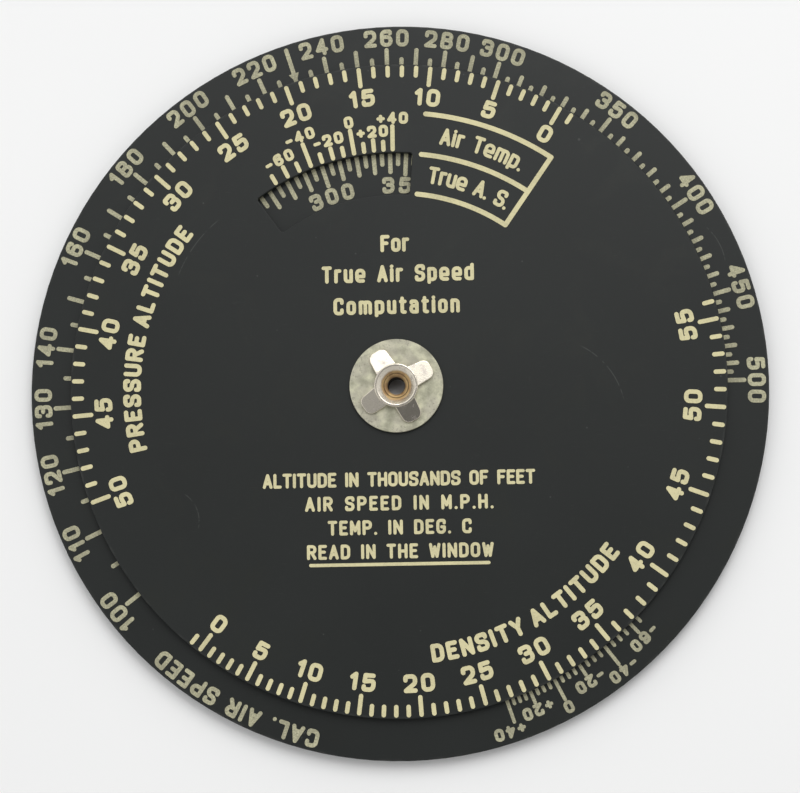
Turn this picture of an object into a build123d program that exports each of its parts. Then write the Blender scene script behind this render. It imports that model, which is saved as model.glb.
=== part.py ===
from build123d import *
import math
import os

# Circular air speed computer: two concentric plastic discs on a clinched eyelet.
# Units are millimetres and degrees. The origin is on the pivot axis at the lowest point of the
# eyelet's back flange, +Z leaves the printed face, and +Y is the top of the dial at rest.
# Angles are counter-clockwise from +X, seen from the printed face.

# Discs: the rim is the ring of the base that shows outside the dial
BASE_RADIUS = 50.8
BASE_THICKNESS = 1.5
RIM_WIDTH = 5.7
DIAL_THICKNESS = 0.8
DISC_EDGE_ROUND = 0.15

# Window in the dial, over the true air speed ring of the base
WINDOW_INSET = 12.5
WINDOW_WIDTH = 5.95
WINDOW_CORNER_RADIUS = 0.4
WINDOW_EDGE_ROUND = 0.1
WINDOW_PAST_COLD_END = 6.0
WINDOW_PAST_HOT_END = 4.8

# Pivot eyelet, washers and their fits
BORE_RADIUS = 1.2
EYELET_WALL = 0.4
FLANGE_WIDTH = 3.4
FLANGE_THICKNESS = 0.4
FLANGE_ROUND = 0.15
FUNNEL_THROAT_WIDTH = 0.85
FUNNEL_THROAT_HEIGHT = 0.2
FUNNEL_THROAT_DEPTH = 0.35
FUNNEL_ROUND = 0.3
HUB_WIDTH = 1.4
HUB_RIM_WIDTH = 0.35
HUB_RIM_ROUND = 0.14
HUB_HEIGHT = 0.75
PRONG_ANGLES = (26.7, 120.7, 214.2, 296.7)
PRONG_LENGTH = 2.42
PRONG_WIDTH = 3.0
PRONG_TIP_WIDTH = 2.6
PRONG_ROOT_THICKNESS = 0.62
PRONG_TIP_THICKNESS = 0.3
PRONG_CORNER_RADIUS = 1.0
PRONG_EDGE_ROUND = 0.1
SPACER_RADIUS = 12.0
SPACER_THICKNESS = 0.2
SPACER_EDGE_ROUND = 0.05
FRONT_WASHER_MARGIN = 1.0
FRONT_WASHER_THICKNESS = 0.5
WASHER_EDGE_ROUND = 0.08
RUNNING_CLEARANCE = 0.06
AXIAL_PLAY = 0.05

# Printed marks
INK_THICKNESS = 0.05
TICK_WIDTH = 0.6
FINE_TICK_WIDTH = 0.48
FRAME_LINE_WIDTH = 0.68
EDGE_MARGIN = 0.2
UNDER_DIAL = 0.3

# Scale laws: degrees of turn for each natural logarithm of the ratio that a scale shows
LOG_SWEEP = 65.17
WINDOW_TEMPERATURE_SWEEP = 68.5
AIR_SPEED_AT_100 = 216.64
TRUE_SPEED_LEAD = 36.25
PRESSURE_AT_SEA_LEVEL = 58.27
DENSITY_AT_SEA_LEVEL = -127.93
RIM_TEMPERATURE_AT_0 = -63.13
WINDOW_TEMPERATURE_AT_0 = 99.01

# Where the engraved air speed ring strays from its law: speed, and degrees ahead of the law
AIR_SPEED_DRIFT = ((100, 0.85), (125, 0), (140, -0.48), (156, 0), (360, 0), (500, -0.62))

# Mark lengths, measured along the radius
AIR_SPEED_LONG = 2.6
AIR_SPEED_MEDIUM = 1.78
AIR_SPEED_SHORT = 1.25
AIR_SPEED_DOT = 0.95
SET_ARROW_MARGIN = 0.5
SET_ARROW_HEAD = 1.4
SET_ARROW_WIDTH = 1.45
ALTITUDE_SHORT = 1.9
ALTITUDE_LONG = 3.1
RIM_TEMPERATURE_SHORT = 1.0
RIM_TEMPERATURE_MEDIUM = 1.9
RIM_TEMPERATURE_LONG = 3.3
WINDOW_GAP = 0.12
WINDOW_TICK_SHORT = 1.7
WINDOW_TICK_MEDIUM = 2.05
WINDOW_TICK_LONG = 3.85
TRUE_SPEED_SHORT = 1.45
TRUE_SPEED_MEDIUM = 2.55
TRUE_SPEED_LONG = 2.9

# Box of lines beside the window that holds its two captions
FRAME_GAP = 2.2
FRAME_SWEEP = 27.95
FRAME_TOP_ABOVE_WINDOW = 5.57
FRAME_LINE_INSET = 0.17

# Radii that follow from the sizes above
DIAL_RADIUS = BASE_RADIUS - RIM_WIDTH
WINDOW_OUTER_RADIUS = DIAL_RADIUS - WINDOW_INSET
WINDOW_INNER_RADIUS = WINDOW_OUTER_RADIUS - WINDOW_WIDTH
FRAME_TOP_RADIUS = WINDOW_OUTER_RADIUS + FRAME_TOP_ABOVE_WINDOW
FRAME_MIDDLE_RADIUS = WINDOW_OUTER_RADIUS - FRAME_LINE_INSET
FRAME_BOTTOM_RADIUS = WINDOW_INNER_RADIUS + FRAME_LINE_INSET
BARREL_RADIUS = BORE_RADIUS + EYELET_WALL
HOLE_RADIUS = BARREL_RADIUS + RUNNING_CLEARANCE
FLANGE_RADIUS = BARREL_RADIUS + FLANGE_WIDTH
FUNNEL_THROAT_RADIUS = BORE_RADIUS + FUNNEL_THROAT_WIDTH
HUB_RADIUS = BARREL_RADIUS + HUB_WIDTH
PRONG_TIP_RADIUS = HUB_RADIUS + PRONG_LENGTH
FRONT_WASHER_RADIUS = PRONG_TIP_RADIUS + FRONT_WASHER_MARGIN

# Heights of the stack, from the back of the eyelet forward
BASE_BACK = FLANGE_THICKNESS + AXIAL_PLAY
BASE_FACE = BASE_BACK + BASE_THICKNESS
SPACER_FACE = BASE_FACE + SPACER_THICKNESS
DIAL_BACK = SPACER_FACE + AXIAL_PLAY
DIAL_FACE = DIAL_BACK + DIAL_THICKNESS
WASHER_BACK = DIAL_FACE + AXIAL_PLAY
WASHER_FACE = WASHER_BACK + FRONT_WASHER_THICKNESS


# Scale laws

def impact_pressure(speed):
    """Impact pressure over sea level pressure, for a speed in miles an hour."""
    sound_speed = 761.2
    return (1 + 0.2 * (speed / sound_speed) ** 2) ** 3.5 - 1


def standard_temperature(altitude):
    """Standard air temperature in kelvin, for an altitude in thousands of feet."""
    return max(288.15 - 1.9812 * altitude, 216.65)


def pressure_ratio(altitude):
    """Standard pressure over sea level pressure, for an altitude in thousands of feet."""
    tropopause = 36.0892
    lower = (standard_temperature(min(altitude, tropopause)) / 288.15) ** 5.25588
    return lower * math.exp(-max(altitude - tropopause, 0) / 20.806)


def density_ratio(altitude):
    """Standard density over sea level density, for an altitude in thousands of feet."""
    return pressure_ratio(altitude) * 288.15 / standard_temperature(altitude)


def lawful_speed_angle(speed):
    return AIR_SPEED_AT_100 - LOG_SWEEP * math.log(impact_pressure(speed) / impact_pressure(100))


def air_speed_angle(speed):
    """Angle of a mark on the rim: its lawful angle and the drift at that speed."""
    for (low, first), (high, last) in zip(AIR_SPEED_DRIFT, AIR_SPEED_DRIFT[1:]):
        if low <= speed <= high:
            drift = first + (last - first) * (speed - low) / (high - low)
    return lawful_speed_angle(speed) + drift


def true_speed_angle(speed):
    return lawful_speed_angle(speed) + TRUE_SPEED_LEAD


def pressure_altitude_angle(altitude):
    return PRESSURE_AT_SEA_LEVEL - LOG_SWEEP * math.log(pressure_ratio(altitude))


def density_altitude_angle(altitude):
    return DENSITY_AT_SEA_LEVEL - LOG_SWEEP * math.log(density_ratio(altitude))


def rim_temperature_angle(celsius):
    return RIM_TEMPERATURE_AT_0 - LOG_SWEEP * math.log(1 + celsius / 273.15)


def window_temperature_angle(celsius):
    return WINDOW_TEMPERATURE_AT_0 - WINDOW_TEMPERATURE_SWEEP * math.log(1 + celsius / 273.15)


WINDOW_LEFT = window_temperature_angle(-70) + WINDOW_PAST_COLD_END
WINDOW_RIGHT = window_temperature_angle(40) - WINDOW_PAST_HOT_END


# Shapes used more than once

def at_angle(angle, radius, height):
    """Place at a polar position, with local +X along the radius."""
    return Rot(0, 0, angle) * Pos(radius, 0, height)


def polar(radius, angle):
    return Vector(radius * math.cos(math.radians(angle)), radius * math.sin(math.radians(angle)))


def ring(outer, inner, bottom, thickness, edge_round):
    """Flat washer or disc with a central hole and rounded outer edges."""
    body = Cylinder(outer, thickness, align=(Align.CENTER, Align.CENTER, Align.MIN))
    body = fillet(body.edges(), edge_round)
    body -= Cylinder(inner, 3 * thickness)
    return Pos(0, 0, bottom) * body


def arc_band(inner, outer, start, end):
    """Flat face between two radii and two angles, on the XY plane."""
    middle = (start + end) / 2
    near = ThreePointArc(polar(inner, start), polar(inner, middle), polar(inner, end))
    far = ThreePointArc(polar(outer, start), polar(outer, middle), polar(outer, end))
    sides = [Line(near @ 0, far @ 0), Line(near @ 1, far @ 1)]
    return make_face([near, far, *sides])


def tick(angle, inner, outer, width, height):
    """One printed mark along the radius, with round ends."""
    mark = extrude(SlotOverall(outer - inner, width), INK_THICKNESS)
    return at_angle(angle, (inner + outer) / 2, height) * mark


# Pieces

def make_base_disc():
    return ring(BASE_RADIUS, HOLE_RADIUS, BASE_BACK, BASE_THICKNESS, DISC_EDGE_ROUND)


def make_spacer_washer():
    return ring(SPACER_RADIUS, HOLE_RADIUS, BASE_FACE, SPACER_THICKNESS, SPACER_EDGE_ROUND)


def make_top_disc():
    disc = ring(DIAL_RADIUS, HOLE_RADIUS, DIAL_BACK, DIAL_THICKNESS, DISC_EDGE_ROUND)
    opening = arc_band(WINDOW_INNER_RADIUS, WINDOW_OUTER_RADIUS, WINDOW_RIGHT, WINDOW_LEFT)
    opening = fillet(opening.vertices(), WINDOW_CORNER_RADIUS)
    disc -= Pos(0, 0, DIAL_BACK) * extrude(opening, DIAL_THICKNESS)
    openings = disc.faces().sort_by(Axis.Z)[-1].inner_wires()
    window_rim = max(openings, key=lambda wire: wire.length)
    return fillet(window_rim.edges(), WINDOW_EDGE_ROUND)


def make_front_washer():
    return ring(FRONT_WASHER_RADIUS, HOLE_RADIUS, WASHER_BACK, FRONT_WASHER_THICKNESS, WASHER_EDGE_ROUND)


def make_pivot_eyelet():
    """Tubular eyelet: back flange, barrel, flared hub and four prongs clinched on the washer."""
    crest = WASHER_FACE + HUB_HEIGHT
    outline = [
        (BORE_RADIUS, 0),
        (FLANGE_RADIUS, 0),
        (FLANGE_RADIUS, FLANGE_THICKNESS),
        (BARREL_RADIUS, FLANGE_THICKNESS),
        (BARREL_RADIUS, WASHER_FACE),
        (HUB_RADIUS, WASHER_FACE),
        (HUB_RADIUS, crest),
        (HUB_RADIUS - HUB_RIM_WIDTH, crest),
        (FUNNEL_THROAT_RADIUS, WASHER_FACE + FUNNEL_THROAT_HEIGHT),
        (BORE_RADIUS, WASHER_FACE - FUNNEL_THROAT_DEPTH),
    ]
    section = make_face(Polyline([(x, 0, z) for x, z in outline], close=True))
    section = fillet(section.vertices().group_by(Axis.X)[-1], FLANGE_ROUND)
    section = fillet(section.vertices().group_by(Axis.Z)[-1], HUB_RIM_ROUND)
    throat = Vector(FUNNEL_THROAT_RADIUS, 0, WASHER_FACE + FUNNEL_THROAT_HEIGHT)
    section = fillet(section.vertices().sort_by_distance(throat)[0], FUNNEL_ROUND)
    body = revolve(section, Axis.Z)
    for angle in PRONG_ANGLES:
        body += Rot(0, 0, angle) * make_prong()
    return body


def make_prong():
    """One prong along +X: a tongue with a sloping top and rounded corners."""
    root = HUB_RADIUS - HUB_RIM_WIDTH
    side = [
        (root, 0, WASHER_FACE),
        (PRONG_TIP_RADIUS, 0, WASHER_FACE),
        (PRONG_TIP_RADIUS, 0, WASHER_FACE + PRONG_TIP_THICKNESS),
        (root, 0, WASHER_FACE + PRONG_ROOT_THICKNESS),
    ]
    wedge = extrude(make_face(Polyline(side, close=True)), PRONG_WIDTH, both=True)
    plan = [
        (root, -PRONG_WIDTH / 2),
        (PRONG_TIP_RADIUS, -PRONG_TIP_WIDTH / 2),
        (PRONG_TIP_RADIUS, PRONG_TIP_WIDTH / 2),
        (root, PRONG_WIDTH / 2),
    ]
    outline = make_face(Polyline(plan, close=True))
    outline = fillet(outline.vertices().group_by(Axis.X)[-1], PRONG_CORNER_RADIUS)
    tongue = wedge & extrude(outline, WASHER_FACE + HUB_HEIGHT)
    rim = tongue.faces().sort_by(Axis.Z)[-1].edges()
    root_edge = rim.sort_by(Axis.X)[0]
    return fillet([edge for edge in rim if edge != root_edge], PRONG_EDGE_ROUND)


# Printed graduations

def make_air_speed_ticks():
    """Ring of the base outside the dial, 100 to 500 miles an hour."""
    start = DIAL_RADIUS - UNDER_DIAL
    marks = []
    for speed in range(100, 501, 5):
        if speed == 230:
            continue
        if speed % (10 if speed <= 300 else 50) == 0:
            length = AIR_SPEED_LONG
        elif speed < 300:
            length = AIR_SPEED_SHORT
        else:
            length = AIR_SPEED_MEDIUM if speed % 10 == 0 else AIR_SPEED_DOT
        marks.append(tick(air_speed_angle(speed), start, DIAL_RADIUS + length, TICK_WIDTH, BASE_FACE))
    return Compound(children=marks + [make_set_arrow()])


def make_set_arrow():
    """Arrow at 230 miles an hour that points in at the dial."""
    tail = BASE_RADIUS - SET_ARROW_MARGIN
    neck = DIAL_RADIUS + SET_ARROW_HEAD
    half = SET_ARROW_WIDTH / 2
    head = make_face(Polyline((DIAL_RADIUS, 0), (neck, -half), (neck, half), close=True))
    shaft = Pos((DIAL_RADIUS + tail) / 2, 0) * SlotOverall(tail - DIAL_RADIUS, TICK_WIDTH)
    arrow = extrude(head + shaft, INK_THICKNESS)
    return Rot(0, 0, air_speed_angle(230)) * Pos(0, 0, BASE_FACE) * arrow


def make_true_speed_ticks():
    """Ring of the base that shows through the window, 100 to 500 miles an hour."""
    outer = WINDOW_OUTER_RADIUS + UNDER_DIAL
    marks = []
    for speed in range(100, 501, 5):
        length = TRUE_SPEED_SHORT
        if speed % 10 == 0:
            length = TRUE_SPEED_MEDIUM
        if speed % 50 == 0:
            length = TRUE_SPEED_LONG
        inner = WINDOW_OUTER_RADIUS - UNDER_DIAL - length
        marks.append(tick(true_speed_angle(speed), inner, outer, TICK_WIDTH, BASE_FACE))
    return Compound(children=marks)


def make_rim_temperature_ticks():
    """Short scale on the rim of the base, -65 to +40 degrees Celsius."""
    marks = []
    for celsius in range(-65, 41, 5):
        length = RIM_TEMPERATURE_SHORT
        if celsius % 20 == 0:
            length = RIM_TEMPERATURE_LONG if celsius % 40 == 0 else RIM_TEMPERATURE_MEDIUM
        inner = DIAL_RADIUS - UNDER_DIAL
        outer = DIAL_RADIUS + length
        marks.append(tick(rim_temperature_angle(celsius), inner, outer, FINE_TICK_WIDTH, BASE_FACE))
    return Compound(children=marks)


def make_altitude_ticks(angle_of, highest):
    """Altitude scale at the dial's edge, from -1 thousand feet."""
    outer = DIAL_RADIUS - EDGE_MARGIN
    marks = []
    for altitude in range(-1, highest + 1):
        length = ALTITUDE_LONG if altitude % 5 == 0 else ALTITUDE_SHORT
        marks.append(tick(angle_of(altitude), DIAL_RADIUS - length, outer, TICK_WIDTH, DIAL_FACE))
    return Compound(children=marks)


def make_window_temperature_ticks():
    """Air temperature scale along the window's outer edge, -70 to +40 degrees Celsius."""
    inner = WINDOW_OUTER_RADIUS + WINDOW_GAP
    marks = []
    for celsius in range(-70, 41, 10):
        length = WINDOW_TICK_SHORT
        if celsius % 20 == 0:
            length = WINDOW_TICK_LONG if celsius % 40 == 0 else WINDOW_TICK_MEDIUM
        marks.append(tick(window_temperature_angle(celsius), inner, inner + length, TICK_WIDTH, DIAL_FACE))
    return Compound(children=marks)


def make_caption_frame():
    """Three arcs joined by one radial line, beside the window."""
    half = FRAME_LINE_WIDTH / 2
    start = WINDOW_RIGHT - FRAME_GAP
    end = start - FRAME_SWEEP
    lines = []
    for radius in (FRAME_TOP_RADIUS, FRAME_MIDDLE_RADIUS, FRAME_BOTTOM_RADIUS):
        lines.append(arc_band(radius - half, radius + half, end, start))
        lines.append(Pos(polar(radius, start)) * Circle(half))
    side = FRAME_TOP_RADIUS - FRAME_BOTTOM_RADIUS + FRAME_LINE_WIDTH
    middle = (FRAME_TOP_RADIUS + FRAME_BOTTOM_RADIUS) / 2
    lines.append(at_angle(end, middle, 0) * SlotOverall(side, FRAME_LINE_WIDTH))
    outline = lines[0].fuse(*lines[1:]).clean()
    return Pos(0, 0, DIAL_FACE) * extrude(outline, INK_THICKNESS)


NODES = {
    "base_disc": make_base_disc(),
    "spacer_washer": make_spacer_washer(),
    "top_disc": make_top_disc(),
    "front_washer": make_front_washer(),
    "pivot_eyelet": make_pivot_eyelet(),
    "air_speed_ticks": make_air_speed_ticks(),
    "true_speed_ticks": make_true_speed_ticks(),
    "rim_temperature_ticks": make_rim_temperature_ticks(),
    "pressure_altitude_ticks": make_altitude_ticks(pressure_altitude_angle, 50),
    "density_altitude_ticks": make_altitude_ticks(density_altitude_angle, 56),
    "window_temperature_ticks": make_window_temperature_ticks(),
    "caption_frame": make_caption_frame(),
}

os.makedirs("parts", exist_ok=True)
for name, shape in NODES.items():
    export_step(shape, f"parts/{name}.step")
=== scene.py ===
import math

import bpy
from bpy.props import FloatProperty, FloatVectorProperty, PointerProperty
from bpy.types import Operator, Panel, PropertyGroup
from mathutils import Matrix, Vector
from mathutils.geometry import delaunay_2d_cdt


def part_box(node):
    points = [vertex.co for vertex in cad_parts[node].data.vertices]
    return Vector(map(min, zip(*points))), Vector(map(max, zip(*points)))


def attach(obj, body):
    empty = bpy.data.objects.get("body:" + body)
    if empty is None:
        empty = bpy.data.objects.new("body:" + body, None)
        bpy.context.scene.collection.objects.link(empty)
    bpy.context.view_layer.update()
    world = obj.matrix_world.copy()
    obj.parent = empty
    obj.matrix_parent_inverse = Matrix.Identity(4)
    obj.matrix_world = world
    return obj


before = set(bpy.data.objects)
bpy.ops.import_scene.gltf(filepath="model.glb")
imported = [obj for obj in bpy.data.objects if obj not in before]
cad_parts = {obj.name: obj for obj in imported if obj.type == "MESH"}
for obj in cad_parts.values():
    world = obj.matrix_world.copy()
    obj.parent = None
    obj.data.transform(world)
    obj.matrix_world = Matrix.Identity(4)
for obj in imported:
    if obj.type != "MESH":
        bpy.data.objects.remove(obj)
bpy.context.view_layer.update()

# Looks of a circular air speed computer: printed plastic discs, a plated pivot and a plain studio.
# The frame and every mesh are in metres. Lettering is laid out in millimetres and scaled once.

bl_info = {
    "name": "Air speed computer",
    "version": (1, 0, 0),
    "blender": (4, 5, 0),
    "location": "View3D > Sidebar > Air Speed",
    "description": "Lettering, finishes and studio for a circular air speed computer",
    "category": "Object",
}

MM = 0.001
DIAL_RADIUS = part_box("top_disc")[1].x / MM
BASE_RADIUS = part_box("base_disc")[1].x / MM
DIAL_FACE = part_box("top_disc")[1].z / MM
BASE_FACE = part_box("base_disc")[1].z / MM
INK_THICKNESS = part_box("caption_frame")[1].z / MM - DIAL_FACE
HUB_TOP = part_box("pivot_eyelet")[1].z / MM

# Lettering that has no setting of its own: height, width and stroke, in millimetres
TRUE_SPEED_HEIGHT = 2.32
CAPTION_SIZE = (2.45, 1.5, 0.48)
TITLE_SIZE = (2.4, 1.42, 0.5)
NOTE_SIZE = (2.02, 1.3, 0.42)

# Radii of the base lines that curve round the pivot, in millimetres
AIR_SPEED_LINE = DIAL_RADIUS + 2.78
TRUE_SPEED_LINE = DIAL_RADIUS - 18.08
RIM_TEMPERATURE_NEAR_LINE = DIAL_RADIUS + 1.88
RIM_TEMPERATURE_FAR_LINE = DIAL_RADIUS + 3.3
WINDOW_TEMPERATURE_NEAR_LINE = DIAL_RADIUS - 10.28
WINDOW_TEMPERATURE_FAR_LINE = DIAL_RADIUS - 8.5
PRESSURE_LINE = DIAL_RADIUS - 5.82
DENSITY_LINE = DIAL_RADIUS - 3.45

# Turn that keeps the rim's +40 clear of its +20
CLEAR_OF_20 = math.radians(1.1)

# Curved names: text, angle of its middle, radius of its base line, tops outward, and length
AIR_SPEED_NAME = ("CAL. AIR SPEED", math.radians(-118.3), DIAL_RADIUS + 2.76, True, 25.0)
PRESSURE_NAME = ("PRESSURE ALTITUDE", math.radians(167.2), DIAL_RADIUS - 9.84, True, 32.6)
DENSITY_NAME = ("DENSITY ALTITUDE", math.radians(-61.0), DIAL_RADIUS - 7.2, False, 29.3)
WINDOW_CAPTIONS = (
    ("Air Temp.", math.radians(68.9), DIAL_RADIUS - 11.0, True, 12.2),
    ("True A. S.", math.radians(68.7), DIAL_RADIUS - 16.64, True, 11.9),
)

# Level lines: text, middle across and base line up from the pivot, and length, in millimetres
LINE_TILT = math.radians(-0.3)
TITLE_LINES = (
    ("For", 0.2, 18.6, 4.0),
    ("True Air Speed", 0.5, 14.4, 21.0),
    ("Computation", 0.24, 9.95, 17.4),
)
NOTE_LINES = (
    ("ALTITUDE IN THOUSANDS OF FEET", 0, -13.75, 37.2),
    ("AIR SPEED IN M.P.H.", 0, -17.0, 25.7),
    ("TEMP. IN DEG. C", 0, -20.3, 19.6),
    ("READ IN THE WINDOW", 0, -23.55, 25.4),
)
UNDERLINE_LEFT = -12.2
UNDERLINE_RIGHT = 12.0
UNDERLINE_UP = -24.3
UNDERLINE_TURN_ARM = 12.1
UNDERLINE_WIDTH = 0.45

# First mark of each scale and the step to the next: speeds, thousands of feet, degrees
FIRST_SPEED, SPEED_STEP = 100, 5
FIRST_ALTITUDE = -1
FIRST_RIM_TEMPERATURE, RIM_TEMPERATURE_STEP = -65, 5
FIRST_WINDOW_TEMPERATURE, WINDOW_TEMPERATURE_STEP = -70, 10

# Wear of the ink, and the shift in metres that gives each disc its own share of the noise
BASE_WEAR, BASE_SEED = 0.55, 0.0
DIAL_WEAR, DIAL_SEED = 0.2, 0.3

# Scratches: start, end and bend, in millimetres
BASE_SCRATCHES = (
    ((-14, -47.6), (-12.8, -46.2), 0.2),
    ((43, 21), (45.5, 16), 0.5),
)
DIAL_SCRATCHES = (
    ((-29.5, -14), (-27.6, -19), 0.9),
    ((25, 5), (31, -3), 1.2),
    ((-30, 16), (-24, 24), 0.7),
)

# Tones that wear and dirt bring to a finish, and one of painted shade for the eyelet's bore
SMUDGE = (0.022, 0.024, 0.019)
HAIRLINE = (0.075, 0.077, 0.074)
RUBBED_EDGE = (0.085, 0.088, 0.080)
DUST = (0.34, 0.35, 0.33)
THIN_INK = (0.16, 0.15, 0.11)
PLATE_TARNISH = (0.46, 0.42, 0.36)
PIT = (0.11, 0.10, 0.09)
VIOLET_TARNISH = (0.40, 0.35, 0.34)
BROWN_PATINA = (0.30, 0.17, 0.09)
# Painted shade: near black for the eyelet's bore, standing in for the shade deep in the hole
PAINTED_BORE_SHADE = (0.03, 0.02, 0.012)
FIBRE_DARK = (0.16, 0.07, 0.035)
FIBRE_LIGHT = (0.30, 0.15, 0.08)

# Studio, in metres. The lights point at the pivot.
FLOOR_HALF = 1.5
FLOOR_DARK = (0.875, 0.878, 0.876)
FLOOR_LIGHT = (0.905, 0.907, 0.905)
KEY_PLACE = (0.2, 0.62, 0.78)
KEY_SIZE = (0.6, 0.6)
STRIP_PLACE = (0.02, 0.175, 0.585)
STRIP_SIZE = (0.34, 0.14)
DARK_SKY_HEADING = (0.1, -0.2, 1)
DARK_SKY_EDGE = 0.82
DARK_SKY_CORE = 0.975
BRIGHT_SKY_HEADING = (-0.3, 0.95, 0)
SENSOR_WIDTH = 36
CAMERA_SHIFT = (0.003, -0.0103)


# Settings

class LetteringSettings(PropertyGroup):
    """Sizes of the engraver's letters and numerals, in millimetres."""

    rim_height: FloatProperty(
        name="Rim numeral height", description="Air speed numerals", default=2.48)
    rim_width: FloatProperty(
        name="Rim numeral width", description="Air speed numerals", default=1.76)
    rim_stroke: FloatProperty(
        name="Rim stroke", description="Line width on the base", default=0.56)
    dial_height: FloatProperty(
        name="Dial numeral height", description="Altitude numerals", default=2.5)
    dial_width: FloatProperty(
        name="Dial numeral width", description="Altitude numerals", default=1.88)
    dial_stroke: FloatProperty(
        name="Dial stroke", description="Line width on the dial", default=0.6)
    small_height: FloatProperty(
        name="Small numeral height", description="Temperatures", default=1.72)
    small_width: FloatProperty(
        name="Small numeral width", description="Temperatures", default=1.3)
    small_stroke: FloatProperty(
        name="Small stroke", description="Temperatures", default=0.47)


class FinishSettings(PropertyGroup):
    """Colours of the finishes."""

    plastic: FloatVectorProperty(
        name="Plastic", description="Black sheet plastic", subtype="COLOR", size=3,
        default=(0.0115, 0.0136, 0.0127), min=0, max=1)
    dial_ink: FloatVectorProperty(
        name="Dial ink", description="Cream paint on the dial", subtype="COLOR", size=3,
        default=(0.73, 0.67, 0.39), min=0, max=1)
    base_ink: FloatVectorProperty(
        name="Base ink", description="Dulled cream paint on the base", subtype="COLOR", size=3,
        default=(0.54, 0.52, 0.34), min=0, max=1)
    washer: FloatVectorProperty(
        name="Washer", description="Dull old nickel plate", subtype="COLOR", size=3,
        default=(0.50, 0.49, 0.36), min=0, max=1)
    nickel: FloatVectorProperty(
        name="Eyelet", description="Bright nickel plate", subtype="COLOR", size=3,
        default=(0.84, 0.78, 0.66), min=0, max=1)
    brass: FloatVectorProperty(
        name="Worn brass", description="Brass that shows in the funnel", subtype="COLOR", size=3,
        default=(0.50, 0.35, 0.17), min=0, max=1)


class StudioSettings(PropertyGroup):
    """Camera and light."""

    distance: FloatProperty(
        name="Camera distance", description="From the pivot", default=0.27565, unit="LENGTH")
    tilt: FloatProperty(
        name="Camera tilt", description="Away from straight above", default=math.radians(6.625),
        subtype="ANGLE")
    bearing: FloatProperty(
        name="Camera bearing", description="Direction in which the camera leans",
        default=math.radians(-64.92), subtype="ANGLE")
    roll: FloatProperty(
        name="Camera roll", description="Turn of the picture", default=math.radians(-1.26),
        subtype="ANGLE")
    lens: FloatProperty(name="Lens", description="Focal length in millimetres", default=89.58)
    sky: FloatProperty(name="Sky", description="Strength of the even light", default=0.83)
    zenith: FloatProperty(
        name="Zenith", description="Share of the sky's light left overhead", default=0.16)
    lean: FloatProperty(
        name="Sky lean", description="How much brighter the sky is at the top", default=0.36)
    key: FloatProperty(
        name="Key light", description="Power of the large soft light", default=4.0, unit="POWER")
    strip: FloatProperty(
        name="Strip light", description="Power of the small light overhead", default=0.13, unit="POWER")


# Shader maths

class Wire:
    """A socket that Python expressions can be written on. Each operator adds one Math node."""

    def __init__(self, graph, socket):
        self.graph = graph
        self.socket = socket

    def math(self, operation, *others):
        return self.graph.math(operation, self, *others)

    def __add__(self, other):
        return self.math("ADD", other)

    def __radd__(self, other):
        return self.math("ADD", other)

    def __sub__(self, other):
        return self.math("SUBTRACT", other)

    def __rsub__(self, other):
        return self.graph.math("SUBTRACT", other, self)

    def __mul__(self, other):
        return self.math("MULTIPLY", other)

    def __rmul__(self, other):
        return self.math("MULTIPLY", other)


class Graph:
    """Node tree of one material, or of the world."""

    def __init__(self, name, kind="materials"):
        self.owner = getattr(bpy.data, kind).new(name)
        self.owner.use_nodes = True
        self.tree = self.owner.node_tree
        self.tree.nodes.clear()

    def node(self, kind, inputs=None, output=0, stops=None, **settings):
        """Add a node: settings and ramp stops first, then the values or links of its inputs."""
        node = self.tree.nodes.new(kind)
        for name, value in settings.items():
            setattr(node, name, value)
        for index, (position, colour) in enumerate(stops or []):
            ramp = node.color_ramp.elements
            element = ramp[index] if index < 2 else ramp.new(position)
            element.position = position
            element.color = colour
        for name, value in (inputs or {}).items():
            if isinstance(value, Wire):
                self.tree.links.new(value.socket, node.inputs[name])
            else:
                node.inputs[name].default_value = value
        return Wire(self, node.outputs[output]) if node.outputs else None

    def math(self, operation, *values):
        return self.node("ShaderNodeMath", dict(enumerate(values)), operation=operation)

    def place(self):
        """Position in the frame, in metres."""
        return self.node("ShaderNodeTexCoord", output="Object")

    def stretched(self, vector, scale):
        return self.node("ShaderNodeVectorMath", {0: vector, 1: scale}, operation="MULTIPLY")

    def noise(self, vector, size, detail=3.0, roughness=0.5, distortion=0.0):
        """Soft noise from 0 to 1 whose features are about size millimetres across."""
        values = {"Vector": vector, "Scale": 1 / (size * MM), "Detail": detail,
                  "Roughness": roughness, "Distortion": distortion}
        return self.node("ShaderNodeTexNoise", values)

    def step(self, value, low, high):
        """0 below low and 1 above high, with a smooth rise between; low may be the larger."""
        values = {"Value": value, "From Min": low, "From Max": high}
        return self.node("ShaderNodeMapRange", values, interpolation_type="SMOOTHSTEP")

    def mix(self, share, first, second):
        """Colour between first and second."""
        values = {0: share, 6: colour4(first), 7: colour4(second)}
        return self.node("ShaderNodeMix", values, output=2, data_type="RGBA")

    def distance(self, place, centre):
        """Distance in metres across the face from a point given in millimetres."""
        point = (centre[0] * MM, centre[1] * MM, 0)
        flat = self.stretched(place, (1, 1, 0))
        away = self.node("ShaderNodeVectorMath", {0: flat, 1: point}, operation="SUBTRACT")
        return self.node("ShaderNodeVectorMath", {0: away}, output="Value", operation="LENGTH")

    def bump(self, height, distance, strength=1.0):
        """Surface normal for a height from 0 to 1; distance is in millimetres."""
        values = {"Height": height, "Distance": distance * MM, "Strength": strength}
        return self.node("ShaderNodeBump", values)

    def finish(self, **inputs):
        """Principled surface; names use underscores for spaces."""
        values = {name.replace("_", " "): value for name, value in inputs.items()}
        shader = self.node("ShaderNodeBsdfPrincipled", values)
        self.node("ShaderNodeOutputMaterial", {"Surface": shader})
        return self.owner


def colour4(value):
    return value if isinstance(value, Wire) else (*value, 1)


# Finishes

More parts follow.
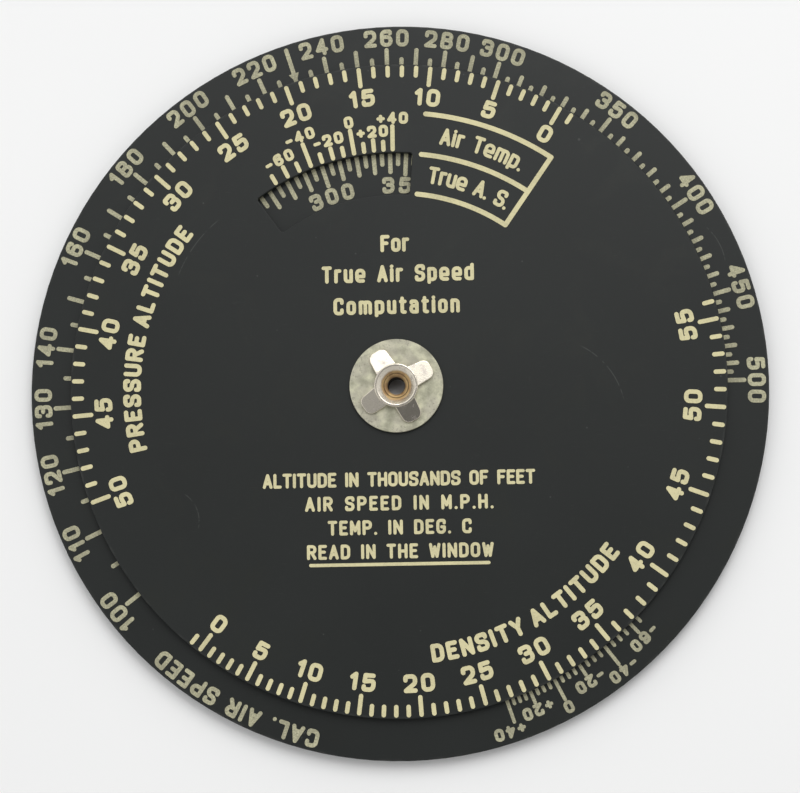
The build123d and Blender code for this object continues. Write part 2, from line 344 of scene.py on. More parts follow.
def specks(graph, place, cell, size, share):
    """Mask of round specks: one in a share of the cells, size and cell in millimetres."""
    values = {"Vector": place, "Scale": 1 / (cell * MM), "Randomness": 1.0}
    near = graph.node("ShaderNodeTexVoronoi", values, output="Distance")
    tint = graph.node("ShaderNodeTexVoronoi", values, output="Color")
    luck = graph.node("ShaderNodeSeparateColor", {"Color": tint}, output="Red")
    round_speck = graph.step(near, size / cell, 0.4 * size / cell)
    return round_speck * graph.step(luck, 1 - share, 1 - share + 0.02)


def scratch(graph, place, start, end, bend, width):
    """Mask of a fine curved scratch from start to end, all in millimetres."""
    first, last = Vector(start), Vector(end)
    along = last - first
    side = Vector((-along.y, along.x)).normalized()
    radius = along.length ** 2 / (8 * bend) + bend / 2
    centre = (first + last) / 2 - side * (radius - bend)
    off_line = (graph.distance(place, centre) - radius * MM).math("ABSOLUTE")
    off_middle = graph.distance(place, (first + last) / 2)
    broken = graph.step(graph.noise(place, 0.9), 0.38, 0.5)
    line = graph.step(off_line, width * MM, 0.3 * width * MM)
    return line * broken * graph.step(off_middle, along.length * MM / 2, along.length * MM * 0.4)


def make_plastic(name, tint, radius, seed, scratches):
    """Satin black sheet: cloudy tone, fine grain, smudges, dust, scratches and a rubbed edge."""
    graph = Graph(name)
    place = graph.node("ShaderNodeVectorMath", {0: graph.place(), 1: (0, 0, seed)}, operation="ADD")
    clouds = graph.noise(place, 22, detail=4)
    smudge = graph.step(graph.noise(place, 9, detail=5, roughness=0.6, distortion=0.6), 0.5, 0.72)
    grain = graph.noise(place, 0.16, detail=2)
    dust = specks(graph, place, 2.6, 0.16, 0.3)
    lint = specks(graph, place, 9.0, 0.3, 0.16)
    marks = dust * 0.1 + lint * 0.14
    for start, end, bend in scratches:
        marks = marks + scratch(graph, place, start, end, bend, 0.1) * 0.08
    hairs = graph.noise(graph.stretched(place, (1, 9, 1)), 1.4, detail=2)
    rubbed = graph.noise(graph.stretched(place, (7, 1, 1)), 1.1, detail=2)
    fine = graph.step(hairs, 0.66, 0.74) + graph.step(rubbed, 0.68, 0.76)
    worn = graph.step(graph.distance(place, (0, 0)), (radius - 0.45) * MM, radius * MM)
    worn = worn * graph.step(graph.noise(place, 1.8, detail=4), 0.42, 0.68)
    deep = [channel * 0.82 for channel in tint]
    light = [channel * 1.22 for channel in tint]
    colour = graph.mix(clouds, deep, light)
    colour = graph.mix(smudge * 0.25, colour, SMUDGE)
    colour = graph.mix(fine * 0.07, colour, HAIRLINE)
    colour = graph.mix(worn * 0.25, colour, RUBBED_EDGE)
    colour = graph.mix(marks.math("MINIMUM", 1.0), colour, DUST)
    roughness = 0.42 + clouds * 0.07 - smudge * 0.06 + marks * 0.2
    height = grain * 0.6 + fine * 0.2 + marks * 0.4
    return graph.finish(Base_Color=colour, Roughness=roughness, IOR=1.38,
                        Normal=graph.bump(height, 0.006, 0.6))


def make_ink(name, tint, wear, seed):
    """Paint film: slightly uneven tone, pinholes and thin places where the black shows."""
    graph = Graph(name)
    place = graph.node("ShaderNodeVectorMath", {0: graph.place(), 1: (0, 0, seed)}, operation="ADD")
    tone = graph.noise(place, 3.5, detail=4)
    grain = graph.noise(place, 0.22, detail=3, roughness=0.65)
    thin = graph.step(grain + tone * 0.5, 0.72 - wear * 0.25, 0.98 - wear * 0.2)
    dull = [channel * 0.8 for channel in tint]
    colour = graph.mix(tone, tint, dull)
    colour = graph.mix(thin * wear, colour, THIN_INK)
    return graph.finish(Base_Color=colour, Roughness=0.62 + grain * 0.15,
                        Normal=graph.bump(grain, 0.01, 0.5))


def make_washer_metal(tint):
    """Old dull plate: cloudy, tarnished, pitted near the edge."""
    graph = Graph("Dull_Plate")
    place = graph.place()
    clouds = graph.step(graph.noise(place, 1.7, detail=5, roughness=0.66), 0.3, 0.7)
    pits = graph.step(graph.noise(place, 0.42, detail=4, roughness=0.65), 0.52, 0.66)
    outer = graph.step(graph.distance(place, (0, 0)), 4.0 * MM, 6.3 * MM)
    tarnish = graph.step(graph.noise(place, 2.8, detail=4), 0.44, 0.6)
    dark = pits * (0.12 + outer * 0.5) * (0.35 + tarnish * 0.65)
    colour = graph.mix(clouds, [c * 0.62 for c in tint], [c * 1.3 for c in tint])
    colour = graph.mix(tarnish * 0.35, colour, PLATE_TARNISH)
    colour = graph.mix(dark, colour, PIT)
    roughness = 0.46 + clouds * 0.14 + dark * 0.2
    height = clouds * 0.6 - dark
    return graph.finish(Base_Color=colour, Metallic=0.3, Roughness=roughness,
                        Normal=graph.bump(height, 0.03, 0.6))


def make_eyelet_metal(nickel, brass):
    """Bright plate with violet-grey tarnish, worn to brass in the funnel, with painted shade deep in
    the bore.
    """
    graph = Graph("Bright_Plate")
    place = graph.place()
    radius = graph.distance(place, (0, 0))
    depth = graph.node("ShaderNodeSeparateXYZ", {"Vector": place}, output="Z")
    blotch = graph.noise(place, 1.1, detail=4, roughness=0.6)
    tarnish = graph.step(blotch, 0.5, 0.68)
    worn = graph.step(radius + blotch * 0.3 * MM, 2.35 * MM, 2.1 * MM)
    # Painted shade: the bore's walls below the hub and inside its narrow part darken to near black
    deep = graph.step(depth, (HUB_TOP - 0.8) * MM, (HUB_TOP - 1.3) * MM)
    deep = deep * graph.step(radius, 1.6 * MM, 1.3 * MM)
    colour = graph.mix(tarnish * 0.5, nickel, VIOLET_TARNISH)
    patina = graph.step(graph.noise(place, 0.9, detail=4), 0.4, 0.62)
    colour = graph.mix(worn, colour, graph.mix(patina * 0.6, brass, BROWN_PATINA))
    colour = graph.mix(deep * 0.95, colour, PAINTED_BORE_SHADE)
    scuff = graph.noise(graph.stretched(place, (1, 6, 1)), 0.5, detail=3)
    roughness = 0.16 + tarnish * 0.12 + worn * 0.16 + scuff * 0.05
    return graph.finish(Base_Color=colour, Metallic=1.0, Roughness=roughness,
                        Normal=graph.bump(scuff + blotch, 0.012, 0.3))


def make_fibre():
    """Brown vulcanised fibre: mottled, with a fibrous grain."""
    graph = Graph("Brown_Fibre")
    place = graph.place()
    strands = graph.noise(graph.stretched(place, (1, 5, 1)), 0.8, detail=4)
    colour = graph.mix(strands, FIBRE_DARK, FIBRE_LIGHT)
    return graph.finish(Base_Color=colour, Roughness=0.7 + strands * 0.1,
                        Normal=graph.bump(strands, 0.02, 0.5))


def coat(node, material):
    """Give a frame node its finish."""
    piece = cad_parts[node]
    for holder in piece.material_slots:
        holder.material = material
    if not piece.material_slots:
        piece.data.materials.append(material)


# Stroke font. A glyph is its width, in shares of a numeral's, and its strokes. A stroke's points
# are (across, up), in shares of that width and of the capital height; a third value of 1 rounds
# the corner. A stroke that ends where it starts is closed. One point is a dot.

BOWL_TOP = 0.53
X_HEIGHT = 0.77
DESCENT = -0.2
GLYPHS = {
    "0": (1, [[(0, 0, 1), (0, 1, 1), (1, 1, 1), (1, 0, 1), (0, 0, 1)]]),
    "1": (0.45, [[(0, 0.78), (0.8, 1), (0.8, 0)]]),
    "2": (1, [[(0, 0.74), (0, 1, 1), (1, 1, 1), (1, 0.52, 1), (0, 0), (1, 0)]]),
    "3": (1, [[(0, 0.78), (0, 1, 1), (1, 1, 1), (1, 0.54, 1), (0.45, 0.54)],
              [(0.45, 0.54), (1, 0.54, 1), (1, 0, 1), (0, 0, 1), (0, 0.22)]]),
    "4": (1, [[(0.72, 0), (0.72, 1), (0, 0.28), (1, 0.28)]]),
    "5": (1, [[(0.92, 1), (0.1, 1), (0.04, 0.56), (0.6, 0.62, 1), (1, 0.6, 1), (1, 0, 1), (0, 0, 1),
               (0, 0.2)]]),
    "6": (1, [[(0.95, 0.84), (0.95, 1, 1), (0, 1, 1), (0, 0, 1), (1, 0, 1), (1, 0.6, 1), (0, 0.58)]]),
    "8": (1, [[(0, 0, 1), (0, BOWL_TOP, 1), (1, BOWL_TOP, 1), (1, 0, 1), (0, 0, 1)],
              [(0.05, BOWL_TOP, 1), (0.05, 1, 1), (0.95, 1, 1), (0.95, BOWL_TOP, 1),
               (0.05, BOWL_TOP, 1)]]),
    "+": (0.85, [[(0, 0.45), (1, 0.45)], [(0.5, 0.18), (0.5, 0.72)]]),
    "-": (0.7, [[(0, 0.45), (1, 0.45)]]),
    ".": (0, [[(0, 0)]]),
    "A": (1.05, [[(0, 0), (0.5, 1), (1, 0)], [(0.2, 0.3), (0.8, 0.3)]]),
    "C": (1, [[(1, 0.76), (1, 1, 1), (0, 1, 1), (0, 0, 1), (1, 0, 1), (1, 0.24)]]),
    "D": (1, [[(0, 0), (0, 1), (1, 1, 1.3), (1, 0, 1.3), (0, 0)]]),
    "E": (0.85, [[(1, 1), (0, 1), (0, 0), (1, 0)], [(0, 0.52), (0.8, 0.52)]]),
    "F": (0.85, [[(1, 1), (0, 1), (0, 0)], [(0, 0.52), (0.8, 0.52)]]),
    "G": (1, [[(1, 0.78), (1, 1, 1), (0, 1, 1), (0, 0, 1), (1, 0, 1), (1, 0.45), (0.6, 0.45)]]),
    "H": (1, [[(0, 0), (0, 1)], [(1, 0), (1, 1)], [(0, 0.5), (1, 0.5)]]),
    "I": (0, [[(0, 0), (0, 1)]]),
    "L": (0.8, [[(0, 1), (0, 0), (1, 0)]]),
    "M": (1.15, [[(0, 0), (0, 1), (0.5, 0.25), (1, 1), (1, 0)]]),
    "N": (1, [[(0, 0), (0, 1), (1, 0), (1, 1)]]),
    "O": (1, [[(0, 0, 1), (0, 1, 1), (1, 1, 1), (1, 0, 1), (0, 0, 1)]]),
    "P": (1, [[(0, 0), (0, 1), (1, 1, 1), (1, 0.46, 1), (0, 0.46)]]),
    "R": (1, [[(0, 0), (0, 1), (1, 1, 1), (1, 0.48, 1), (0, 0.48)], [(0.5, 0.48), (1, 0)]]),
    "S": (1, [[(1, 0.8), (1, 1, 1), (0, 1, 1), (0, 0.55, 1), (1, 0.47, 1), (1, 0, 1), (0, 0, 1),
               (0, 0.2)]]),
    "T": (1, [[(0, 1), (1, 1)], [(0.5, 1), (0.5, 0)]]),
    "U": (1, [[(0, 1), (0, 0, 1), (1, 0, 1), (1, 1)]]),
    "W": (1.3, [[(0, 1), (0.25, 0), (0.5, 0.8), (0.75, 0), (1, 1)]]),
    "Y": (1, [[(0, 1), (0.5, 0.45), (1, 1)], [(0.5, 0.45), (0.5, 0)]]),
    "a": (0.85, [[(0.05, 0.66), (0.05, X_HEIGHT, 1), (1, X_HEIGHT, 1), (1, 0)],
                 [(1, 0.44), (0, 0.44, 1), (0, 0, 1), (1, 0)]]),
    "d": (0.9, [[(1, 1), (1, 0), (0, 0, 1), (0, X_HEIGHT, 1), (1, X_HEIGHT)]]),
    "e": (1, [[(0, 0.33), (1, 0.33), (1, X_HEIGHT, 1), (0, X_HEIGHT, 1), (0, 0, 1), (0.92, 0)]]),
    "i": (0, [[(0, 0), (0, X_HEIGHT)], [(0, 1.02)]]),
    "m": (1.45, [[(0, 0), (0, X_HEIGHT), (0.5, X_HEIGHT, 1), (0.5, 0)],
                 [(0.5, X_HEIGHT), (1, X_HEIGHT, 1), (1, 0)]]),
    "n": (0.85, [[(0, 0), (0, X_HEIGHT), (1, X_HEIGHT, 1), (1, 0)]]),
    "o": (0.9, [[(0, 0, 1), (0, X_HEIGHT, 1), (1, X_HEIGHT, 1), (1, 0, 1), (0, 0, 1)]]),
    "p": (0.9, [[(0, DESCENT), (0, X_HEIGHT), (1, X_HEIGHT, 1), (1, 0, 1), (0, 0)]]),
    "r": (0.55, [[(0, 0), (0, X_HEIGHT)], [(0, 0.5), (0.1, X_HEIGHT, 1), (1, X_HEIGHT)]]),
    "t": (0.6, [[(0.35, 1), (0.35, 0, 1), (1, 0)], [(0, X_HEIGHT), (1, X_HEIGHT)]]),
    "u": (0.85, [[(0, X_HEIGHT), (0, 0, 1), (1, 0, 1)], [(1, 0), (1, X_HEIGHT)]]),
}
# Strokes: the radius of a rounded corner as a share of the width, the steps of its arc, the sides
# of a round end, the sharpest mitre and the decimals of a millimetre that corners are snapped to
CORNER_SHARE = 0.44
ARC_STEPS = 6
DOT_SIDES = 16
SHARPEST_MITRE = 0.5
SNAP_DECIMALS = 3

# Grid on which the frame's vertices count as one place
STEPS_PER_METRE = 1e7


def corner_arc(before, corner, after, radius):
    """Points of the arc that rounds a corner, limited by half of each neighbouring run."""
    back, ahead = (before - corner), (after - corner)
    half_angle = back.angle(ahead) / 2
    reach = min(radius / math.tan(half_angle), back.length / 2, ahead.length / 2)
    start, end = corner + back.normalized() * reach, corner + ahead.normalized() * reach
    middle = (back.normalized() + ahead.normalized()).normalized()
    centre = corner + middle * reach / math.cos(half_angle)
    turn = math.pi - 2 * half_angle
    if back.x * ahead.y - back.y * ahead.x > 0:
        turn = -turn
    arm = start - centre
    points = []
    for index in range(ARC_STEPS + 1):
        angle = turn * index / ARC_STEPS
        cosine, sine = math.cos(angle), math.sin(angle)
        points.append(centre + Vector((arm.x * cosine - arm.y * sine, arm.x * sine + arm.y * cosine)))
    return points


def smooth_runs(stroke, width, height):
    """Centre lines of a stroke in millimetres, split wherever it turns a sharp corner."""
    corner = CORNER_SHARE * width
    points = [Vector((p[0] * width, p[1] * height)) for p in stroke]
    rounds = [(p[2] if len(p) > 2 else 0) * corner for p in stroke]
    closed = len(points) > 1 and (points[0] - points[-1]).length < 1e-9
    if closed and rounds[0]:
        middle = (points[0] + points[1]) / 2
        points = [middle, *points[1:-1], points[0], middle]
        rounds = [0, *rounds[1:-1], rounds[0], 0]
        return [thread(points, rounds)[0]]
    return thread(points, rounds)


def thread(points, rounds):
    """Runs of points through a stroke, with an arc at each rounded corner."""
    runs = [[points[0]]]
    for index in range(1, len(points) - 1):
        if rounds[index]:
            before, corner, after = points[index - 1:index + 2]
            runs[-1].extend(corner_arc(before, corner, after, rounds[index]))
        else:
            runs[-1].append(points[index])
            runs.append([points[index]])
    if len(points) > 1:
        runs[-1].append(points[-1])
    return [without_repeats(run) for run in runs]


def without_repeats(run):
    kept = [run[0]]
    for point in run[1:]:
        if (point - kept[-1]).length > 1e-4:
            kept.append(point)
    return kept


def dot(centre, radius, heading):
    """Round end of a stroke, with two of its corners on the stroke's own."""
    turns = (heading + 2 * math.pi * index / DOT_SIDES for index in range(DOT_SIDES))
    return [centre + Vector((math.cos(turn), math.sin(turn))) * radius for turn in turns]


def ribbon(run, stroke):
    """Polygons that cover one smooth run with a line of the stroke's width and round ends."""
    radius = stroke / 2
    if len(run) == 1:
        return [dot(run[0], radius, 0)]
    headings = [(after - before).normalized() for before, after in zip(run, run[1:])]
    closed = (run[0] - run[-1]).length < 1e-6
    sides = []
    for index, point in enumerate(run):
        before = headings[max(index - 1, 0)]
        after = headings[min(index, len(headings) - 1)]
        if closed and index in (0, len(run) - 1):
            before, after = headings[-1], headings[0]
        across = Vector((-(before + after).y, (before + after).x)).normalized()
        reach = radius / max(across.dot(Vector((-after.y, after.x))), SHARPEST_MITRE)
        sides.append((point - across * reach, point + across * reach))
    polygons = [[a[0], b[0], b[1], a[1]] for a, b in zip(sides, sides[1:])]
    if not closed:
        for point, heading in ((run[0], headings[0]), (run[-1], headings[-1])):
            polygons.append(dot(point, radius, math.atan2(heading.x, -heading.y)))
    return polygons


def distance_to(runs, point):
    """Distance from a point to the nearest of some centre lines."""
    nearest = math.inf
    for run in runs:
        for start, end in zip(run, run[1:] or run):
            along = end - start
            share = (point - start).dot(along) / along.length_squared if along.length else 0
            foot = start + along * min(max(share, 0), 1)
            nearest = min(nearest, (point - foot).length)
    return nearest


def merge(runs, stroke):
    """One flat patch that covers every run with a line: its points and its faces."""
    places = {}
    edges = []
    for run in runs:
        for polygon in ribbon(run, stroke):
            corners = []
            for corner in polygon:
                place = (round(corner.x, SNAP_DECIMALS), round(corner.y, SNAP_DECIMALS))
                corners.append(places.setdefault(place, len(places)))
            edges.extend((a, b) for a, b in zip(corners, corners[1:] + corners[:1]) if a != b)
    found = delaunay_2d_cdt([Vector(place) for place in places], edges, [], 0, 1e-5)
    faces = []
    for face in found[2]:
        middle = sum((found[0][index] for index in face), Vector((0, 0))) / len(face)
        if distance_to(runs, middle) < stroke / 2 + 1e-3:
            faces.append(list(face))
    return found[0], faces


class Style:
    """How a line of lettering is cut: sizes in millimetres."""

    def __init__(self, height, width, stroke, gap=0.5, space=None):
        self.height = height
        self.width = width
        self.stroke = stroke
        self.gap = gap
        self.space = width * 0.6 if space is None else space
        self.cut = {}

    def width_of(self, letter):
        if letter == " ":
            return self.space
        return GLYPHS[letter][0] * (self.width - self.stroke) + self.stroke

    def patch(self, letter):
        """Flat shape of a letter with its lower left corner at the origin."""
        if letter not in self.cut:
            inner = Vector((self.width_of(letter) - self.stroke, self.height - self.stroke))
            runs = []
            for stroke in GLYPHS[letter][1]:
                runs.extend(smooth_runs(stroke, inner.x, inner.y))
            points, faces = merge(runs, self.stroke)
            half = Vector((self.stroke / 2, self.stroke / 2))
            self.cut[letter] = ([point + half for point in points], faces)
        return self.cut[letter]

    def spread(self, text, length=None):
        """Each letter with the distance of its centre from the line's middle."""
        widths = [self.width_of(letter) for letter in text]
        gap = self.gap
        if length is not None:
            gap = (length - sum(widths)) / (len(text) - 1)
        total = sum(widths) + gap * (len(text) - 1)
        at = -total / 2
        placed = []
        for letter, width in zip(text, widths):
            if letter != " ":
                placed.append((letter, at + width / 2))
            at += width + gap
        return placed


class Sheet:
    """Ink on one face: collects flat patches and becomes one closed mesh."""

    def __init__(self, name, face, body, slot, material):
        self.name = name
        self.face = face
        self.body = body
        self.slot = slot
        self.material = material
        self.points = []
        self.faces = []

    def add(self, points, faces):
        """Raise one patch into a closed solid that stands on the face."""
        low = len(self.points)
        high = low + len(points)
        self.points.extend((p.x * MM, p.y * MM, self.face * MM) for p in points)
        top = (self.face + INK_THICKNESS) * MM
        self.points.extend((p.x * MM, p.y * MM, top) for p in points)
        edges = {}
        for face in faces:
            self.faces.append([high + index for index in face])
            self.faces.append([low + index for index in reversed(face)])
            edges.update(dict.fromkeys(zip(face, face[1:] + face[:1])))
        for a, b in edges:
            if (b, a) not in edges:
                self.faces.append((low + a, low + b, high + b, high + a))

    def letter(self, style, letter, centre, heading):
        """Set a letter with the middle of its base line at centre, turned to heading."""
        points, faces = style.patch(letter)
        turn = Matrix.Rotation(heading, 2)
        middle = Vector((style.width_of(letter) / 2, 0))
        self.add([centre + turn @ (point - middle) for point in points], faces)

    def straight(self, style, text, centre, length=None, tilt=0.0):
        """Level line of text whose base line is centred at centre."""
        along = Vector((math.cos(tilt), math.sin(tilt)))
        for letter, offset in style.spread(text, length):
            self.letter(style, letter, centre + along * offset, tilt)

    def around(self, style, text, angle, radius, tops_out=True, length=None):
        """Text on a circle: radius is that of the base line, angle is at the text's middle."""
        side = 1 if tops_out else -1
        pace = radius + side * style.height / 2
        for letter, offset in style.spread(text, length):
            at = angle - side * offset / pace
            centre = Vector((math.cos(at), math.sin(at))) * radius
            self.letter(style, letter, centre, at - side * math.pi / 2)

    def line(self, start, end, width):
        """Straight rule with round ends."""
        self.add(*merge([[start, end]], width))

    def build(self):
        mesh = bpy.data.meshes.new(self.name)
        mesh.from_pydata(self.points, [], self.faces)
        mesh.materials.append(self.material)
        mesh.validate()
        mesh.update()
        piece = bpy.data.objects.new(self.name, mesh)
        bpy.context.scene.collection.objects.link(piece)
        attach(piece, self.body)


def mark_angles(node, clockwise):
    """Angles of a printed scale's marks, in order from one end, read from the frame."""
    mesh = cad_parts[node].data
    groups = {}

    def root(key):
        while groups[key] != key:
            key = groups[key]
        return key

    keys = [tuple(round(value * STEPS_PER_METRE) for value in vertex.co) for vertex in mesh.vertices]
    for key in keys:
        groups[key] = key
    for edge in mesh.edges:
        first, second = (root(keys[index]) for index in edge.vertices)
        groups[first] = second
    marks = {}
    for key in groups:
        marks.setdefault(root(key), []).append(Vector(key[:2]))
    angles = sorted(math.atan2(*reversed(sum(points, Vector((0, 0))))) for points in marks.values())
    gaps = [(after - before) % math.tau for before, after in zip(angles, angles[1:] + angles[:1])]
    start = (gaps.index(max(gaps)) + 1) % len(angles)
    ordered = angles[start:] + angles[:start]
    return ordered[::-1] if clockwise else ordered


def base_sheet(name):
    return Sheet(name, BASE_FACE, "base", "base_ink", bpy.data.materials["Base_Ink"])


def dial_sheet(name):
    return Sheet(name, DIAL_FACE, "dial", "dial_ink", bpy.data.materials["Dial_Ink"])


# Operators

class AIRSPEED_OT_finishes(Operator):
    """Make every finish and give the frame's nodes theirs"""

    bl_idname = "airspeed.finishes"
    bl_label = "Finishes"

    def execute(self, context):
        tints = context.scene.airspeed_finish
        base = make_plastic("Base_Plastic", tints.plastic, BASE_RADIUS, BASE_SEED, BASE_SCRATCHES)
        dial = make_plastic("Dial_Plastic", tints.plastic, DIAL_RADIUS, DIAL_SEED, DIAL_SCRATCHES)
        base_ink = make_ink("Base_Ink", tints.base_ink, BASE_WEAR, BASE_SEED)
        dial_ink = make_ink("Dial_Ink", tints.dial_ink, DIAL_WEAR, DIAL_SEED)
        coat("base_disc", base)
        coat("top_disc", dial)
        coat("spacer_washer", make_fibre())
        coat("front_washer", make_washer_metal(tints.washer))
        coat("pivot_eyelet", make_eyelet_metal(tints.nickel, tints.brass))
        for node in ("air_speed_ticks", "true_speed_ticks", "rim_temperature_ticks"):
            coat(node, base_ink)
        for node in ("pressure_altitude_ticks", "density_altitude_ticks", "window_temperature_ticks",
                     "caption_frame"):
            coat(node, dial_ink)
        return {"FINISHED"}


class AIRSPEED_OT_air_speed_numerals(Operator):
    """Number the air speed ring on the rim of the base"""

    bl_idname = "airspeed.air_speed_numerals"
    bl_label = "Air speed numerals"

    def execute(self, context):
        sizes = context.scene.airspeed_lettering
        style = Style(sizes.rim_height, sizes.rim_width, sizes.rim_stroke)
        angles = mark_angles("air_speed_ticks", clockwise=True)
        sheet = base_sheet("air_speed_numerals")
        speeds = [*range(100, 141, 10), *range(160, 301, 20), *range(350, 501, 50)]
        for speed in speeds:
            mark = (speed - FIRST_SPEED) // SPEED_STEP
            sheet.around(style, str(speed), angles[mark], AIR_SPEED_LINE)
        caption = Style(sizes.rim_height, sizes.rim_width, sizes.rim_stroke, space=0.8)
        sheet.around(caption, *AIR_SPEED_NAME)
        sheet.build()
        return {"FINISHED"}


class AIRSPEED_OT_true_speed_numerals(Operator):
    """Number the true air speed ring, which shows through the window"""

    bl_idname = "airspeed.true_speed_numerals"
    bl_label = "True speed numerals"

    def execute(self, context):
        sizes = context.scene.airspeed_lettering
        style = Style(TRUE_SPEED_HEIGHT, sizes.rim_width * 0.97, sizes.rim_stroke, gap=0.6)
        angles = mark_angles("true_speed_ticks", clockwise=True)
        sheet = base_sheet("true_speed_numerals")
        for speed in range(100, 501, 50):
            mark = (speed - FIRST_SPEED) // SPEED_STEP
            sheet.around(style, str(speed), angles[mark], TRUE_SPEED_LINE)
        sheet.build()
        return {"FINISHED"}


class AIRSPEED_OT_temperature_numerals(Operator):
    """Number both temperature scales"""

    bl_idname = "airspeed.temperature_numerals"
    bl_label = "Temperature numerals"

    def execute(self, context):
        sizes = context.scene.airspeed_lettering
        small = Style(sizes.small_height, sizes.small_width, sizes.small_stroke, gap=0.32)
        rim_angles = mark_angles("rim_temperature_ticks", clockwise=True)
        window_angles = mark_angles("window_temperature_ticks", clockwise=True)
        rim = base_sheet("rim_temperature_numerals")
        window = dial_sheet("window_temperature_numerals")
        for celsius in range(-60, 41, 20):
            text = f"{celsius:+d}" if celsius else "0"
            far = celsius % 40 == 0
            rim_line = RIM_TEMPERATURE_FAR_LINE if far else RIM_TEMPERATURE_NEAR_LINE
            window_line = WINDOW_TEMPERATURE_FAR_LINE if far else WINDOW_TEMPERATURE_NEAR_LINE
            rim_mark = (celsius - FIRST_RIM_TEMPERATURE) // RIM_TEMPERATURE_STEP
            window_mark = (celsius - FIRST_WINDOW_TEMPERATURE) // WINDOW_TEMPERATURE_STEP
            aside = CLEAR_OF_20 if celsius == 40 else 0
            rim.around(small, text, rim_angles[rim_mark] - aside, rim_line)
            window.around(small, text, window_angles[window_mark], window_line)
        rim.build()
        window.build()
        return {"FINISHED"}


class AIRSPEED_OT_altitude_numerals(Operator):
    """Number both altitude scales at the dial's edge and name them"""

    bl_idname = "airspeed.altitude_numerals"
    bl_label = "Altitude numerals"

    def execute(self, context):
        sizes = context.scene.airspeed_lettering
        style = Style(sizes.dial_height, sizes.dial_width, sizes.dial_stroke)
        name = Style(sizes.dial_height, sizes.dial_width * 0.94, sizes.dial_stroke, space=0.45)
        pressure = dial_sheet("pressure_altitude_numerals")
        angles = mark_angles("pressure_altitude_ticks", clockwise=False)
        for altitude in range(0, 51, 5):
            pressure.around(style, str(altitude), angles[altitude - FIRST_ALTITUDE], PRESSURE_LINE)
        pressure.around(name, *PRESSURE_NAME)
        pressure.build()
        density = dial_sheet("density_altitude_numerals")
        angles = mark_angles("density_altitude_ticks", clockwise=False)
        for altitude in range(0, 56, 5):
            mark = altitude - FIRST_ALTITUDE
            density.around(style, str(altitude), angles[mark], DENSITY_LINE, tops_out=False)
        density.around(name, *DENSITY_NAME)
        density.build()
        return {"FINISHED"}


class AIRSPEED_OT_captions(Operator):
    """Letter the window's captions, the title and the four lines of reading notes"""

    bl_idname = "airspeed.captions"
    bl_label = "Captions"

    def execute(self, context):
        caption = Style(*CAPTION_SIZE, space=1.0)
        window = dial_sheet("window_captions")
        for line in WINDOW_CAPTIONS:
            window.around(caption, *line)
        window.build()
        title = self.level_lines("title", Style(*TITLE_SIZE, space=1.0), TITLE_LINES)
        title.build()
        notes = self.level_lines("reading_notes", Style(*NOTE_SIZE, space=0.95), NOTE_LINES)
        fall = math.tan(LINE_TILT) * UNDERLINE_TURN_ARM
        notes.line(Vector((UNDERLINE_LEFT, UNDERLINE_UP - fall)),
                   Vector((UNDERLINE_RIGHT, UNDERLINE_UP + fall)), UNDERLINE_WIDTH)
        notes.build()
        return {"FINISHED"}

    @staticmethod
    def level_lines(name, style, lines):
        sheet = dial_sheet(name)
        for text, across, up, length in lines:
            sheet.straight(style, text, Vector((across, up)), length, LINE_TILT)
        return sheet


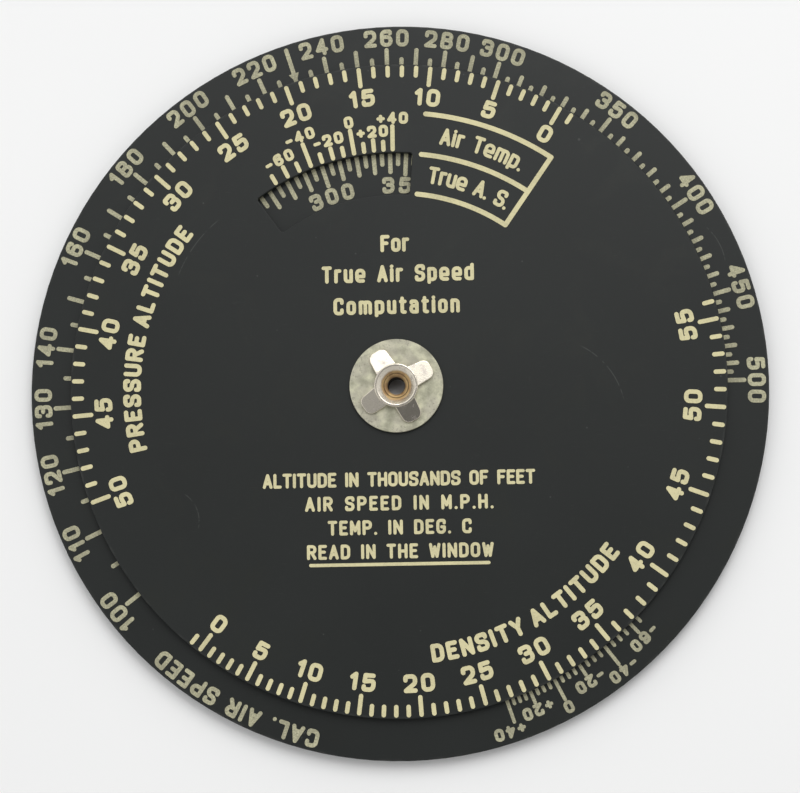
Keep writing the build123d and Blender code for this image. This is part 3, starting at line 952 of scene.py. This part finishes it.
class AIRSPEED_OT_stage(Operator):
    """Lay the pale floor and set the soft studio light and the camera"""

    bl_idname = "airspeed.stage"
    bl_label = "Stage"

    def execute(self, context):
        studio = context.scene.airspeed_studio
        context.scene.view_settings.view_transform = "Standard"
        self.floor()
        self.sky(context.scene, studio)
        self.soft_light("key_light", KEY_PLACE, KEY_SIZE, studio.key)
        self.soft_light("strip_light", STRIP_PLACE, STRIP_SIZE, studio.strip)
        self.camera(context.scene, studio)
        return {"FINISHED"}

    @staticmethod
    def floor():
        half = FLOOR_HALF
        mesh = bpy.data.meshes.new("floor")
        corners = [(-half, -half, 0), (half, -half, 0), (half, half, 0), (-half, half, 0)]
        mesh.from_pydata(corners, [], [(0, 1, 2, 3)])
        graph = Graph("Pale_Card")
        tooth = graph.noise(graph.place(), 0.8, detail=3)
        tone = graph.mix(graph.noise(graph.place(), 60, detail=2), FLOOR_DARK, FLOOR_LIGHT)
        card = graph.finish(Base_Color=tone, Roughness=0.8, Normal=graph.bump(tooth, 0.01, 0.3))
        mesh.materials.append(card)
        floor = bpy.data.objects.new("floor", mesh)
        bpy.context.scene.collection.objects.link(floor)

    @staticmethod
    def sky(scene, studio):
        """Even sky that is dark overhead, where a camera would hang, and brighter at the top."""
        graph = Graph("Studio_Sky", "worlds")
        heading = graph.node("ShaderNodeTexCoord", output="Generated")
        dark_heading = Vector(DARK_SKY_HEADING).normalized()
        overhead = graph.node("ShaderNodeVectorMath", {0: heading, 1: dark_heading},
                              output="Value", operation="DOT_PRODUCT")
        side = graph.node("ShaderNodeVectorMath", {0: heading, 1: BRIGHT_SKY_HEADING},
                          output="Value", operation="DOT_PRODUCT")
        shade = 1 - graph.step(overhead, DARK_SKY_EDGE, DARK_SKY_CORE) * (1 - studio.zenith)
        strength = shade * (side * studio.lean + 1) * studio.sky
        light = graph.node("ShaderNodeBackground", {"Color": (1, 1, 1, 1), "Strength": strength})
        graph.node("ShaderNodeOutputWorld", {"Surface": light})
        scene.world = graph.owner

    @staticmethod
    def soft_light(name, place, size, power):
        light = bpy.data.lights.new(name, "AREA")
        light.shape = "RECTANGLE"
        light.size, light.size_y = size
        light.energy = power
        holder = bpy.data.objects.new(name, light)
        holder.location = place
        holder.rotation_euler = Vector(place).to_track_quat("Z", "Y").to_euler()
        bpy.context.scene.collection.objects.link(holder)

    @staticmethod
    def camera(scene, studio):
        data = bpy.data.cameras.new("camera")
        data.sensor_width = SENSOR_WIDTH
        data.lens = studio.lens
        data.shift_x, data.shift_y = CAMERA_SHIFT
        data.clip_start = 0.01
        back = Vector((math.sin(studio.tilt) * math.cos(studio.bearing),
                       math.sin(studio.tilt) * math.sin(studio.bearing),
                       math.cos(studio.tilt)))
        top = Vector((-math.sin(studio.roll), math.cos(studio.roll), 0))
        right = top.cross(back).normalized()
        rotation = Matrix((right, back.cross(right), back)).transposed()
        holder = bpy.data.objects.new("camera", data)
        holder.matrix_world = Matrix.Translation(back * studio.distance) @ rotation.to_4x4()
        scene.collection.objects.link(holder)
        scene.camera = holder


class AIRSPEED_PT_panel(Panel):
    """Lists the settings and the steps in order"""

    bl_idname = "AIRSPEED_PT_panel"
    bl_label = "Air speed computer"
    bl_space_type = "VIEW_3D"
    bl_region_type = "UI"
    bl_category = "Air Speed"

    def draw(self, context):
        for group in (context.scene.airspeed_finish, context.scene.airspeed_lettering,
                      context.scene.airspeed_studio):
            box = self.layout.box()
            for name in type(group).__annotations__:
                box.prop(group, name)
        for step in STEPS:
            self.layout.operator(step.bl_idname)


STEPS = (
    AIRSPEED_OT_finishes,
    AIRSPEED_OT_air_speed_numerals,
    AIRSPEED_OT_true_speed_numerals,
    AIRSPEED_OT_temperature_numerals,
    AIRSPEED_OT_altitude_numerals,
    AIRSPEED_OT_captions,
    AIRSPEED_OT_stage,
)
CLASSES = (LetteringSettings, FinishSettings, StudioSettings, *STEPS, AIRSPEED_PT_panel)


def register():
    for entry in CLASSES:
        bpy.utils.register_class(entry)
    bpy.types.Scene.airspeed_lettering = PointerProperty(type=LetteringSettings)
    bpy.types.Scene.airspeed_finish = PointerProperty(type=FinishSettings)
    bpy.types.Scene.airspeed_studio = PointerProperty(type=StudioSettings)


def unregister():
    del bpy.types.Scene.airspeed_studio
    del bpy.types.Scene.airspeed_finish
    del bpy.types.Scene.airspeed_lettering
    for entry in reversed(CLASSES):
        bpy.utils.unregister_class(entry)


def main():
    """Register the classes, then run every step."""
    register()
    for step in STEPS:
        group, name = step.bl_idname.split(".")
        getattr(getattr(bpy.ops, group), name)()


if __name__ == "__main__":
    main()
